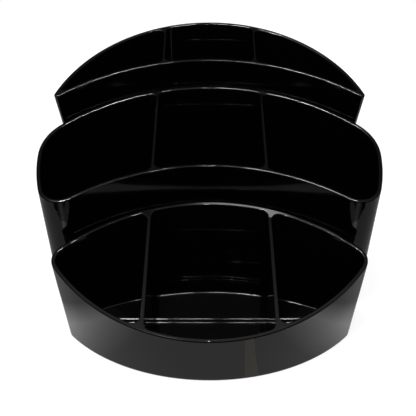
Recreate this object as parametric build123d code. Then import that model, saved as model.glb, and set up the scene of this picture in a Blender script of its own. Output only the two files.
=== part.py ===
"""Desk organizer: three slant-topped trays stepped front to rear on one base plate.

The front, middle and rear tray are mouldings of their own, each with a floor, leaning outer
walls and two upright dividers. Their rims slope down towards the user. Pegs under the trays
pass through the base plate and are flattened there, and rubber pads keep it off the desk.
Millimetres, +Z up, the front towards -Y, origin on the desk under the middle of the footprint.
"""

import os
from math import atan, degrees, radians, tan

from build123d import *

# Rims: the height that each rim plane has above the origin, and its rise per mm towards the rear
front_rim = 54.5
front_rim_slope = 0.421
middle_rim = 71.9
middle_rim_slope = 0.403
rear_rim = 85.4
rear_rim_slope = 0.395

# Outer walls, at their feet: where the arc crosses the middle plane, and its radius
front_edge_y = -75.3
front_edge_radius = 82.8
side_centre_y = 0.0
side_radius = 75.4
rear_edge_y = 67.2
rear_edge_radius = 72.3
outer_lean = 0.066

# Slices between two trays, at the level of the lower rim
front_slice_y = -9.1
front_slice_radius = 112.1
front_slice_level = 50.5
rear_slice_y = 44.0
rear_slice_radius = 113.6
rear_slice_level = 88.9
front_tray_back_lean = 0.15
middle_tray_front_lean = 0.005
rear_slice_lean = 0.05
tray_gap = 0.4

# Upright corners of the trays
front_corner = 7.0
middle_front_corner = 10.0
middle_rear_corner = 24.0
rear_corner = 1.5

# Walls and floors
wall = 2.0
divider = 1.8
divider_lean = 0.5
rim_round = 0.6
pocket_corner = 3.0
pocket_tip = 0.9
floor_round = 0.8
floor = 2.0

# Low rib across the front tray's floor: its front face, thickness and height
rib_y = -41.5
rib = 2.0
rib_height = 1.6
rib_round = 0.95
rib_foot = 0.6

# Distance of each tray's dividers from the middle plane
front_divider_x = 27.8
middle_divider_x = 26.2
rear_divider_x = 23.2

# Base plate, its pads and the pegs that hold the trays on it
pad_stand = 0.6
pad_depth = 0.6
pad_radius = 6.0
pad_chamfer = 0.3
plate = 1.8
plate_radius = 64.0
plate_y = -2.0
plate_clearance = 0.3
peg_radius = 1.6
peg_clearance = 0.1
peg_head_radius = 2.6
peg_head_depth = 0.8
front_pad_at = (36.0, -44.0)
rear_pad_at = (44.0, 30.0)
front_pegs_at = [(0.0, -60.0), (-50.0, -30.0), (50.0, -30.0)]
middle_pegs_at = [(0.0, 10.0), (-52.0, 0.0), (52.0, 0.0)]
rear_pegs_at = [(0.0, 56.0), (-34.0, 46.0), (34.0, 46.0)]

# Working sizes: cutting blocks run past the trays, and places are compared to a tolerance
top = 160.0
reach = 400.0
tolerance = 0.01

plate_top = pad_stand + plate
floor_level = plate_top + floor
UP = (Align.CENTER, Align.CENTER, Align.MIN)


def disc(y, radius, side, lean, level, bottom):
    """Upright round block: its edge crosses the middle plane at y, at the given level."""
    low, high = radius + lean * (bottom - level), radius + lean * (top - level)
    return Pos(0, y - side * radius, bottom) * Cone(low, high, top - bottom, align=UP)


def uprights(solid):
    """The upright edges of a block, where two of its walls meet."""
    half_height = solid.bounding_box().size.Z / 2
    return solid.edges().filter_by(lambda edge: edge.bounding_box().size.Z > half_height)


def front_block(inset, bottom):
    """Outline of the front tray, drawn in by inset and standing on the bottom level."""
    gap = inset + tray_gap / 2
    edge = disc(front_edge_y + inset, front_edge_radius - inset, -1, outer_lean, pad_stand, bottom)
    back = disc(front_slice_y - gap, front_slice_radius - gap, 1, front_tray_back_lean,
                front_slice_level, bottom)
    block = edge & back
    return fillet(uprights(block), front_corner - inset)


def middle_block(inset, bottom):
    """Outline of the middle tray: round at the sides, hollow in front, arched at the back."""
    gap = inset + tray_gap / 2
    sides = disc(side_centre_y + side_radius - inset, side_radius - inset, 1, outer_lean,
                 pad_stand, bottom)
    back = disc(rear_slice_y - gap, rear_slice_radius - gap, 1, rear_slice_lean,
                rear_slice_level, bottom)
    front = disc(front_slice_y + gap, front_slice_radius + gap, 1, -middle_tray_front_lean,
                 front_slice_level, bottom)
    block = (sides & back) - front
    block = fillet(uprights(block).sort_by(Axis.Y)[-2:], middle_rear_corner - inset)
    return fillet(uprights(block).sort_by(Axis.Y)[:2], middle_front_corner - inset)


def rear_block(inset, bottom):
    """Outline of the rear tray, a crescent with a narrow tip at each side."""
    gap = inset + tray_gap / 2
    edge = disc(rear_edge_y - inset, rear_edge_radius - inset, 1, outer_lean, pad_stand, bottom)
    front = disc(rear_slice_y + gap, rear_slice_radius + gap, 1, -rear_slice_lean,
                 rear_slice_level, bottom)
    block = edge - front
    return fillet(uprights(block), pocket_tip if inset else rear_corner)


def wedge(half_width, lean):
    """Block across the tray whose two sides stand half_width from the middle plane at the floor."""
    plan = Pos(0, 0, floor_level) * Rectangle(2 * half_width, reach)
    return extrude(plan, amount=top - floor_level, taper=lean)


def pocket(cell, divider_x):
    """Finish a compartment: round its corners at the dividers and the edge of its floor."""
    sharp = uprights(cell).filter_by(
        lambda edge: abs(abs(edge.center().X) - divider_x) < 3 * divider)
    cell = fillet(sharp, pocket_corner)
    return fillet(cell.faces().sort_by(Axis.Z)[0].edges(), floor_round)


def tray(block, rim, rim_slope, divider_x, pegs_at):
    """One tray: outer block, less its compartments and the hollow for the plate, cut off at the rim."""
    body = block(0, pad_stand)
    mouth = block(wall, floor_level)
    foot_spread = tan(radians(divider_lean)) * (rim - floor_level)
    middle = mouth & wedge(divider_x - divider / 2 - foot_spread, -divider_lean)
    sides = mouth - wedge(divider_x + divider / 2 + foot_spread, divider_lean)
    body -= pocket(middle, divider_x)
    body -= pocket(sides.solids().sort_by(Axis.X)[0], divider_x)
    body -= Pos(0, 0, rim) * Rot(degrees(atan(rim_slope)), 0, 0) * Box(reach, reach, top, align=UP)
    half = body & Pos(-reach / 2, 0, 0) * Box(reach, reach, reach)
    rim_edges = half.edges().filter_by(
        lambda edge: abs((edge @ 0.5).X) > tolerance
        and all(abs((edge @ t).Z - rim - rim_slope * (edge @ t).Y) < tolerance for t in (0, 0.5, 1)))
    half = fillet(rim_edges, rim_round)
    body = half + mirror(half, about=Plane.YZ)

    under = block(wall, pad_stand) & Pos(0, 0, pad_stand) * Box(reach, reach, plate, align=UP)
    body -= under
    body -= Pos(0, plate_y, pad_stand) * Cylinder(plate_radius + plate_clearance, plate, align=UP)
    for x, y in pegs_at:
        body += Pos(x, y, pad_stand) * Cylinder(peg_radius, plate, align=UP)
        body += Pos(x, y, pad_stand) * Cylinder(peg_head_radius, peg_head_depth, align=UP)
    return body


front_tray = tray(front_block, front_rim, front_rim_slope, front_divider_x, front_pegs_at)
middle_tray = tray(middle_block, middle_rim, middle_rim_slope, middle_divider_x, middle_pegs_at)
rear_tray = tray(rear_block, rear_rim, rear_rim_slope, rear_divider_x, rear_pegs_at)

# Rib across the front tray's floor, with a rounded top and hollow-rounded feet
rib_profile = Rectangle(rib + 2 * rib_foot, rib_foot, align=(Align.CENTER, Align.MIN))
for sign in (-1, 1):
    rib_profile -= Pos(sign * (rib / 2 + rib_foot), rib_foot) * Circle(rib_foot)
rib_profile += Rectangle(rib, rib_height, align=(Align.CENTER, Align.MIN))
rib_profile = fillet(rib_profile.vertices().group_by(Axis.Y)[-1], rib_round)
rib_bar = extrude(Plane.YZ * Pos(rib_y + rib / 2, floor_level) * rib_profile, amount=reach / 2, both=True)
front_tray += rib_bar & front_block(wall, floor_level)

# Base plate: a flat disc with counterbored peg holes and four shallow seats for the pads
base_plate = Pos(0, plate_y, pad_stand) * Cylinder(plate_radius, plate, align=UP)
for x, y in front_pegs_at + middle_pegs_at + rear_pegs_at:
    base_plate -= Pos(x, y, pad_stand) * Cylinder(peg_radius + peg_clearance, plate, align=UP)
    base_plate -= Pos(x, y, pad_stand) * Cylinder(
        peg_head_radius + peg_clearance, peg_head_depth + peg_clearance, align=UP)

parts = {"front_tray": front_tray, "middle_tray": middle_tray, "rear_tray": rear_tray}
for row, (x, y) in [("front", front_pad_at), ("rear", rear_pad_at)]:
    for side, sign in [("left", -1), ("right", 1)]:
        pad = Pos(sign * x, y, 0) * Cylinder(pad_radius, pad_stand + pad_depth, align=UP)
        parts[f"pad_{row}_{side}"] = chamfer(pad.edges().group_by(Axis.Z)[0], pad_chamfer)
        base_plate -= Pos(sign * x, y, pad_stand) * Cylinder(pad_radius, pad_depth, align=UP)
parts["base_plate"] = base_plate

# The origin lies under the middle of the whole outline
front_end = front_tray.bounding_box().min.Y
rear_end = rear_tray.bounding_box().max.Y
centring = Pos(0, -(front_end + rear_end) / 2, 0)

os.makedirs("parts", exist_ok=True)
for name, solid in parts.items():
    export_step(centring * solid, f"parts/{name}.step")
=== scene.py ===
from math import pi, radians

import bpy
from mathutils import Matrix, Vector

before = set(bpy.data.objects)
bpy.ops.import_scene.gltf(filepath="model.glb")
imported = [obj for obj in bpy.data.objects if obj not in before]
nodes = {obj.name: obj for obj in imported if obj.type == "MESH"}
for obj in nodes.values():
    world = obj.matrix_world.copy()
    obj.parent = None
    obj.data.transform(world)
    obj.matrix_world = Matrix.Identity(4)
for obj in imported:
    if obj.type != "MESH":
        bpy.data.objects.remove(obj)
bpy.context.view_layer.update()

# ---- Camera ----
# It stands in front of the organizer at a seated user's eye and looks down into the tiers.
look_down = radians(28.5)
camera_data = bpy.data.cameras.new("eye")
camera_data.sensor_width = 36.0
camera_data.lens = 56.25
camera_data.clip_start = 0.01
camera = bpy.data.objects.new("eye", camera_data)
camera.location = (-0.0007, -0.2786, 0.1935)
camera.rotation_euler = (pi / 2 - look_down, 0, 0)
bpy.context.scene.collection.objects.link(camera)
bpy.context.scene.camera = camera


# ---- Three trays ----
# Front, middle and rear tray: one injection moulding each, of black styrene from a polished
# mould. The skin is mirror-like, with a slight ripple over the walls where they cooled.
def moulded_plastic(name, colour, roughness, ripple_size, ripple_depth):
    """Plastic with patches of slightly different polish, between two values of roughness, and
    a soft ripple of the given size and depth in metres."""
    material = bpy.data.materials.new(name)
    material.use_nodes = True
    tree = material.node_tree
    shader = tree.nodes["Principled BSDF"]
    shader.inputs["Base Color"].default_value = (*colour, 1)
    shader.inputs["IOR"].default_value = 1.46

    place = tree.nodes.new("ShaderNodeTexCoord")
    patches = tree.nodes.new("ShaderNodeTexNoise")
    patches.inputs["Scale"].default_value = 35
    patches.inputs["Detail"].default_value = 4
    polish = tree.nodes.new("ShaderNodeMapRange")
    polish.inputs["To Min"].default_value = roughness[0]
    polish.inputs["To Max"].default_value = roughness[1]
    tree.links.new(place.outputs["Object"], patches.inputs["Vector"])
    tree.links.new(patches.outputs["Fac"], polish.inputs["Value"])
    tree.links.new(polish.outputs["Result"], shader.inputs["Roughness"])

    ripple = tree.nodes.new("ShaderNodeTexNoise")
    ripple.inputs["Scale"].default_value = 1 / ripple_size
    ripple.inputs["Detail"].default_value = 1
    bump = tree.nodes.new("ShaderNodeBump")
    bump.inputs["Distance"].default_value = ripple_depth
    tree.links.new(place.outputs["Object"], ripple.inputs["Vector"])
    tree.links.new(ripple.outputs["Fac"], bump.inputs["Height"])
    tree.links.new(bump.outputs["Normal"], shader.inputs["Normal"])
    return material


tray_colour = (0.0012, 0.0009, 0.0011)
tray_plastic = moulded_plastic("black_styrene", tray_colour, roughness=(0.03, 0.07),
                               ripple_size=0.012, ripple_depth=0.00001)
for name in ["front_tray", "middle_tray", "rear_tray"]:
    nodes[name].material_slots[0].material = tray_plastic

# ---- Base plate ----
# A flat black disc under the trays, moulded with a fine matt grain. The melted heads of the
# trays' pegs fill its counterbores and hold the trays on it.
plate_colour = (0.016, 0.016, 0.017)
plate_plastic = moulded_plastic("matt_black_plastic", plate_colour, roughness=(0.45, 0.6),
                                ripple_size=0.0006, ripple_depth=0.00002)
nodes["base_plate"].material_slots[0].material = plate_plastic

# ---- Rubber pads ----
# Four thin dark grey rubber discs, pressed into shallow seats in the plate's underside.
rubber_colour = (0.03, 0.03, 0.031)
pad_rubber = moulded_plastic("dark_rubber", rubber_colour, roughness=(0.75, 0.9),
                             ripple_size=0.0008, ripple_depth=0.00003)
for name in ["pad_front_left", "pad_front_right", "pad_rear_left", "pad_rear_right"]:
    nodes[name].material_slots[0].material = pad_rubber

# ---- Table and backdrop ----
# A plain white table. It looks a little lighter than it is lit, to the camera and in polished
# surfaces, and the organizer still casts its soft shadow on it.
bpy.ops.object.select_all(action="DESELECT")
bpy.ops.mesh.primitive_plane_add(size=6, location=(0, 0, 0))
floor = bpy.context.object
floor.name = "floor"


def seen_directly(tree):
    """One for a ray from the camera, off a polished surface or through glass, and else nothing."""
    path = tree.nodes.new("ShaderNodeLightPath")
    either = tree.nodes.new("ShaderNodeMath")
    either.operation = "MAXIMUM"
    tree.links.new(path.outputs["Is Camera Ray"], either.inputs[0])
    tree.links.new(path.outputs["Is Glossy Ray"], either.inputs[1])
    any_ray = tree.nodes.new("ShaderNodeMath")
    any_ray.operation = "MAXIMUM"
    tree.links.new(either.outputs["Value"], any_ray.inputs[0])
    tree.links.new(path.outputs["Is Transmission Ray"], any_ray.inputs[1])
    return any_ray.outputs["Value"]


paper = bpy.data.materials.new("white_paper")
paper.use_nodes = True
tree = paper.node_tree
shader = tree.nodes["Principled BSDF"]
shader.inputs["Base Color"].default_value = (0.25, 0.25, 0.25, 1)
shader.inputs["Roughness"].default_value = 1
shader.inputs["Specular IOR Level"].default_value = 0
shader.inputs["Emission Color"].default_value = (1, 1, 1, 1)
lift = tree.nodes.new("ShaderNodeMath")
lift.operation = "MULTIPLY"
lift.inputs[1].default_value = 0.84
tree.links.new(seen_directly(tree), lift.inputs[0])
tree.links.new(lift.outputs["Value"], shader.inputs["Emission Strength"])
floor.data.materials.append(paper)

world = bpy.data.worlds.new("room")
world.use_nodes = True
tree = world.node_tree
background = tree.nodes["Background"]
background.inputs["Color"].default_value = (1, 1, 1, 1)
level = tree.nodes.new("ShaderNodeMapRange")
level.inputs["To Min"].default_value = 0.3
level.inputs["To Max"].default_value = 1
tree.links.new(seen_directly(tree), level.inputs["Value"])
tree.links.new(level.outputs["Result"], background.inputs["Strength"])
bpy.context.scene.world = world

# ---- Cloths ----
# Dark cloths keep the room out of the mirror-like walls: a black tent and a ceiling whose grey is
# a painted glow. On the table lie sheets of painted shade: a dark ring around the organizer, two
# strips of painted shadow in front and a thin veil of painted shade beneath. They show in polished
# surfaces only, as does a glowing cream strip by the front wall, a painted reflection.
def cloth_and_shade_material(name):
    """Matt black with no gloss of its own, for the cloths and for the sheets of painted shade and
    glow.
    """
    material = bpy.data.materials.new(name)
    material.use_nodes = True
    shader = material.node_tree.nodes["Principled BSDF"]
    shader.inputs["Base Color"].default_value = (0, 0, 0, 1)
    shader.inputs["Roughness"].default_value = 1
    shader.inputs["Specular IOR Level"].default_value = 0
    shader.inputs["Emission Color"].default_value = (1, 1, 1, 1)
    return material


def place_along(tree, axis, stops):
    """A value that follows the stops, as pairs of place in metres and value, along one axis."""
    place = tree.nodes.new("ShaderNodeTexCoord")
    sides = tree.nodes.new("ShaderNodeSeparateXYZ")
    tree.links.new(place.outputs["Object"], sides.inputs["Vector"])
    low, high = stops[0][0], stops[-1][0]
    along = tree.nodes.new("ShaderNodeMapRange")
    along.inputs["From Min"].default_value = low
    along.inputs["From Max"].default_value = high
    tree.links.new(sides.outputs[axis], along.inputs["Value"])
    ramp = tree.nodes.new("ShaderNodeValToRGB")
    for number, (spot, value) in enumerate(stops):
        if number < 2:
            stop = ramp.color_ramp.elements[number]
            stop.position = (spot - low) / (high - low)
        else:
            stop = ramp.color_ramp.elements.new((spot - low) / (high - low))
        stop.color = (value, value, value, 1)
    tree.links.new(along.outputs["Result"], ramp.inputs["Fac"])
    return ramp.outputs["Color"]


def show_in_reflections_only(cloth):
    cloth.visible_camera = False
    cloth.visible_diffuse = False
    cloth.visible_shadow = False


bpy.ops.object.select_all(action="DESELECT")
bpy.ops.mesh.primitive_cylinder_add(vertices=96, radius=1.6, depth=1.6,
                                    end_fill_type="TRIFAN", location=(0, 0, 0.75))
tent = bpy.context.object
tent.name = "tent"
tent.data.materials.append(cloth_and_shade_material("black_cloth"))
show_in_reflections_only(tent)

bpy.ops.object.select_all(action="DESELECT")
bpy.ops.mesh.primitive_circle_add(vertices=96, radius=1.2, fill_type="NGON",
                                  location=(0, 0, 1.5))
ceiling = bpy.context.object
ceiling.name = "ceiling"
# The ceiling's grey is a painted glow, no lamp, seen only in reflections: brightest towards the
# front and over the organizer, fading to the rear.
ceiling_painted_glow = cloth_and_shade_material("ceiling_painted_glow")
tree = ceiling_painted_glow.node_tree
glow = place_along(tree, "Y", [(0.05, 0.5), (0.2, 0.3), (0.5, 0.12), (1.0, 0.08)])
tree.links.new(glow, tree.nodes["Principled BSDF"].inputs["Emission Strength"])
ceiling.data.materials.append(ceiling_painted_glow)
show_in_reflections_only(ceiling)

# A dark ring of painted shade on the table around a lit patch by the organizer, seen only in
# reflections: the table farther from the lamps.
cloth_opening = (0.4, 0.268)
opening_corner = 0.03
bpy.ops.object.select_all(action="DESELECT")
bpy.ops.mesh.primitive_plane_add(size=1, location=(0, 0, 0.002))
table_shade_ring = bpy.context.object
table_shade_ring.name = "table_shade_ring"
bpy.ops.object.mode_set(mode="EDIT")
bpy.ops.transform.resize(value=(*cloth_opening, 1))
bpy.ops.mesh.bevel(offset=opening_corner, segments=8, affect="VERTICES")
bpy.ops.mesh.delete(type="ONLY_FACE")
bpy.ops.mesh.select_all(action="SELECT")
bpy.ops.mesh.extrude_edges_move()
bpy.ops.transform.resize(value=(8, 12, 1))
bpy.ops.object.mode_set(mode="OBJECT")
table_shade_ring.data.materials.append(cloth_and_shade_material("table_shade_ring"))
show_in_reflections_only(table_shade_ring)


def mirrored(half):
    """The stops from the middle outwards, with the same on the other side."""
    return [(-spot, value) for spot, value in reversed(half)] + half


# Two strips of painted shadow, the organizer's shadow on the table in front of it: name, where it
# begins and ends along Y, and its cover from the middle out
outer_cover = [(0.092, 0.6), (0.1, 1.0), (0.13, 1.0)]
shade_strips = [
    ("near_shade", -0.1, -0.118, outer_cover),
    ("far_shade", -0.118, -0.36, [(0.036, 1.0), (0.05, 0.6)] + outer_cover),
]
for name, near, far, half in shade_strips:
    bpy.ops.object.select_all(action="DESELECT")
    bpy.ops.mesh.primitive_plane_add(size=1, location=(0, (near + far) / 2, 0.0015))
    shade = bpy.context.object
    shade.name = name
    shade.dimensions = (2 * half[-1][0], near - far, 0)
    bpy.ops.object.transform_apply(location=False, rotation=False, scale=True)
    shade_material = cloth_and_shade_material(name)
    tree = shade_material.node_tree
    cover = place_along(tree, "X", mirrored(half))
    tree.links.new(cover, tree.nodes["Principled BSDF"].inputs["Alpha"])
    shade.data.materials.append(shade_material)
    show_in_reflections_only(shade)

# A thin veil of painted shade on the table in front of and beside the organizer, seen only in
# reflections: it darkens the table in the walls' mirror images.
bpy.ops.object.select_all(action="DESELECT")
bpy.ops.mesh.primitive_plane_add(size=0.34, location=(0, -0.06, 0.001))
shade_veil = bpy.context.object
shade_veil.name = "shade_veil"
shade_material = cloth_and_shade_material("painted_shade_sheet")
tree = shade_material.node_tree
shade_veil_cover = [(0.045, 0.5), (0.07, 0.0), (0.085, 0.7), (0.17, 0.7)]
cover = place_along(tree, "X", mirrored(shade_veil_cover))
tree.links.new(cover, tree.nodes["Principled BSDF"].inputs["Alpha"])
shade_veil.data.materials.append(shade_material)
show_in_reflections_only(shade_veil)

# A thin cream strip that glows, no lamp, seen only in reflections: a painted reflection, a warm
# stripe on the front wall.
bpy.ops.object.select_all(action="DESELECT")
bpy.ops.mesh.primitive_plane_add(size=1, location=(0.0235, -0.0865, 0.0012))
cream_glow_strip = bpy.context.object
cream_glow_strip.name = "cream_glow_strip"
cream_glow_strip.dimensions = (0.006, 0.05, 0)
cream_glow_strip.rotation_euler = (0, 0, radians(22))
cream_painted_reflection = cloth_and_shade_material("cream_painted_reflection")
shader = cream_painted_reflection.node_tree.nodes["Principled BSDF"]
shader.inputs["Emission Color"].default_value = (1, 0.96, 0.86, 1)
shader.inputs["Emission Strength"].default_value = 0.8
cream_glow_strip.data.materials.append(cream_painted_reflection)
show_in_reflections_only(cream_glow_strip)

# ---- Lamps ----
# A soft lamp overhead to the left, and a row of bright tubes that draw the thin light lines
# along the rims and the rib. The short tube in front of them lights the front tray's rim.
def lamp(name, place, width, length, radiance):
    """A flat soft lamp that faces the organizer, of the given brightness per area."""
    bpy.ops.object.light_add(type="AREA", location=place)
    light = bpy.context.object
    light.name = name
    light.data.shape = "RECTANGLE"
    light.data.size = width
    light.data.size_y = length
    light.data.energy = radiance * pi * width * length
    light.rotation_euler = Vector(place).to_track_quat("Z", "Y").to_euler()


lamp("soft_lamp", (-0.25, -0.16, 1.1), 0.5, 0.2, 6)
lamp("left_tube", (-0.17, -0.19, 1.05), 0.22, 0.04, 240)
lamp("middle_tube", (-0.0275, -0.19, 1.05), 0.065, 0.04, 120)
lamp("right_tube", (0.07, -0.19, 1.05), 0.05, 0.04, 150)
lamp("far_right_tube", (0.15, -0.19, 1.05), 0.1, 0.04, 220)
lamp("short_tube", (-0.015, -0.31, 1.05), 0.04, 0.04, 25)

bpy.context.scene.view_settings.view_transform = "Standard"
